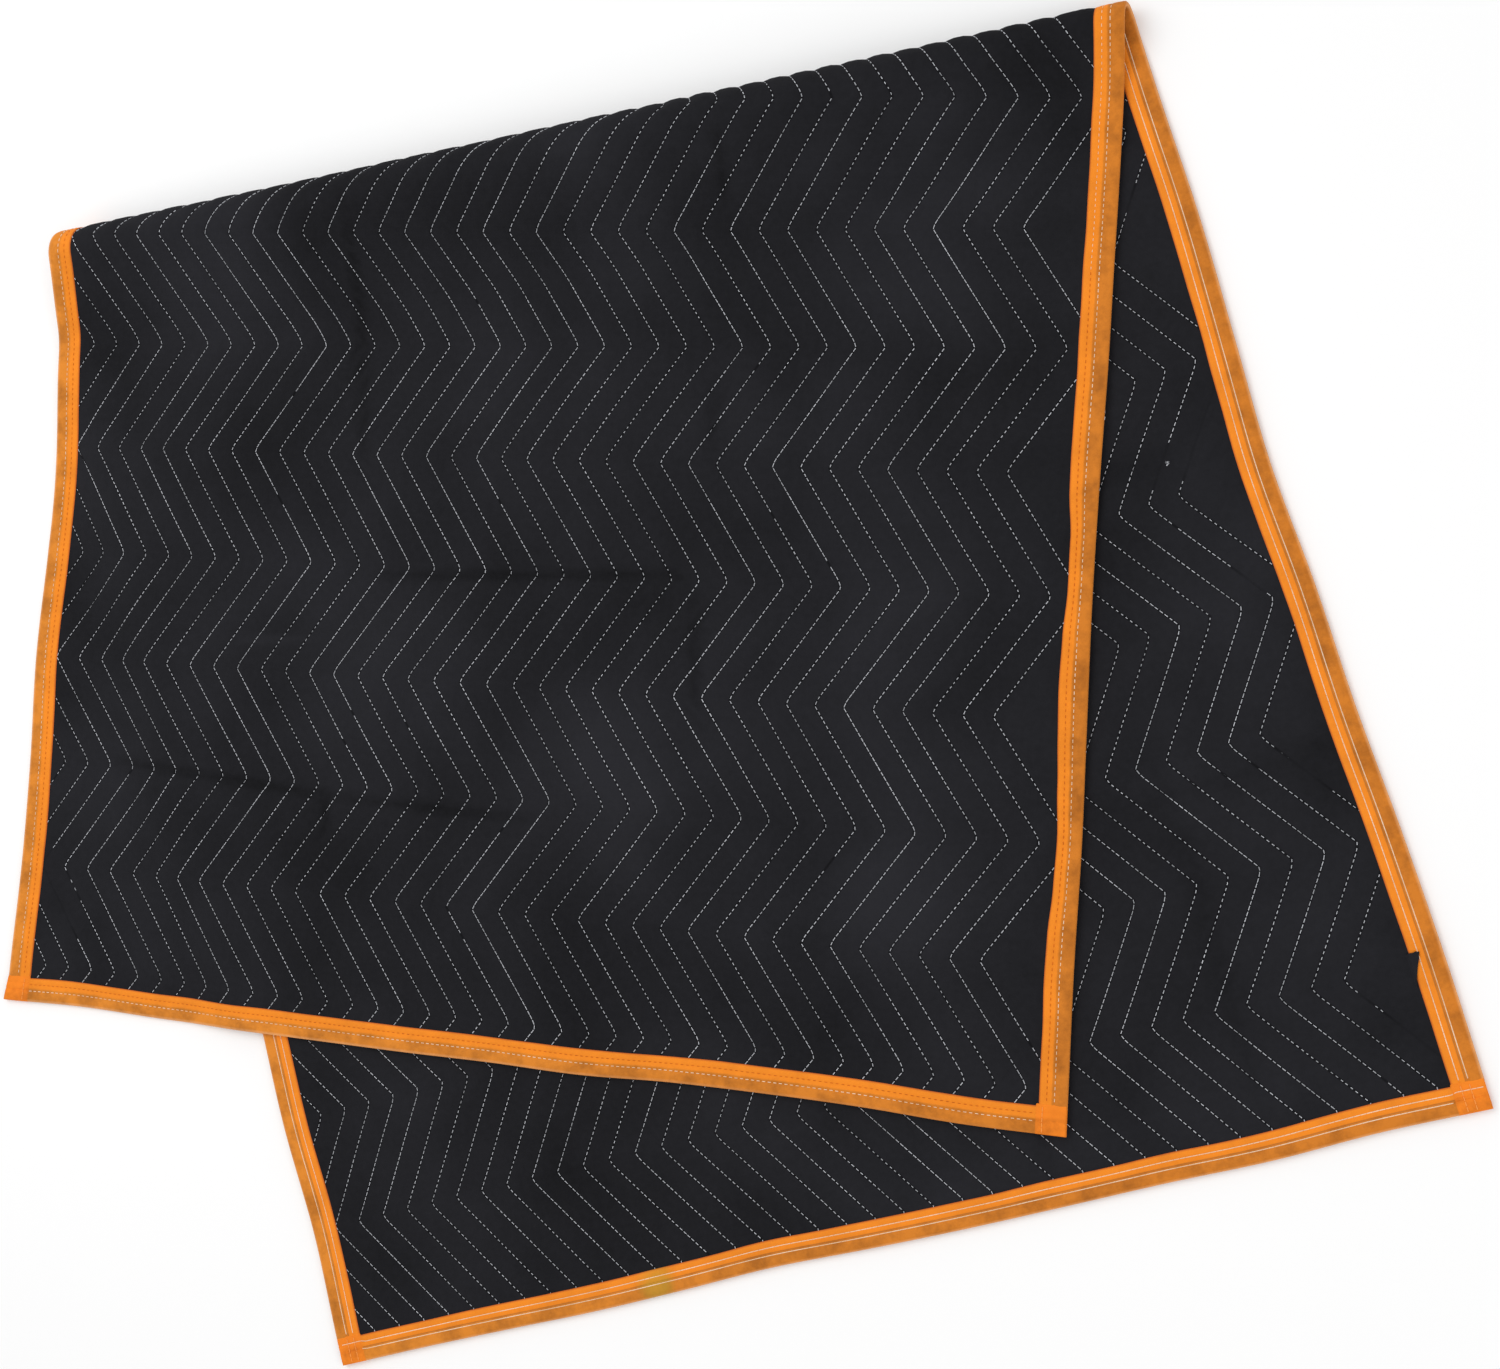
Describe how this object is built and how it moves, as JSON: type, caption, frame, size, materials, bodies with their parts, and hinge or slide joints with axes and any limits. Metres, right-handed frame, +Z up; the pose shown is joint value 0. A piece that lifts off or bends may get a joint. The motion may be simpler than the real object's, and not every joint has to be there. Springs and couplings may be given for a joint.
{
  "type": "quilted moving pad, folded over once",
  "caption": "Black quilted moving pad with zigzag seams and orange bound edges, folded over once askew and lying flat.",
  "frame": {"origin": "on the surface that the pad lies on, under the middle of its box", "axes": "+X along the lower hem, to the right; +Y from the lower hem towards the fold; +Z up, away from the surface"},
  "size_m": [1.2794, 1.0876, 0.0505],
  "materials": {
    "quilt_cloth": "matt black woven polyester, quilted with white thread",
    "binding_tape": "orange nonwoven tape, sewn on with two rows of stitches"
  },
  "bodies": {
    "root": {"quilted_panel": "quilt_cloth", "binding_left": "binding_tape", "binding_right": "binding_tape", "binding_lower_hem": "binding_tape", "binding_upper_hem": "binding_tape"}
  },
  "joints": []
}
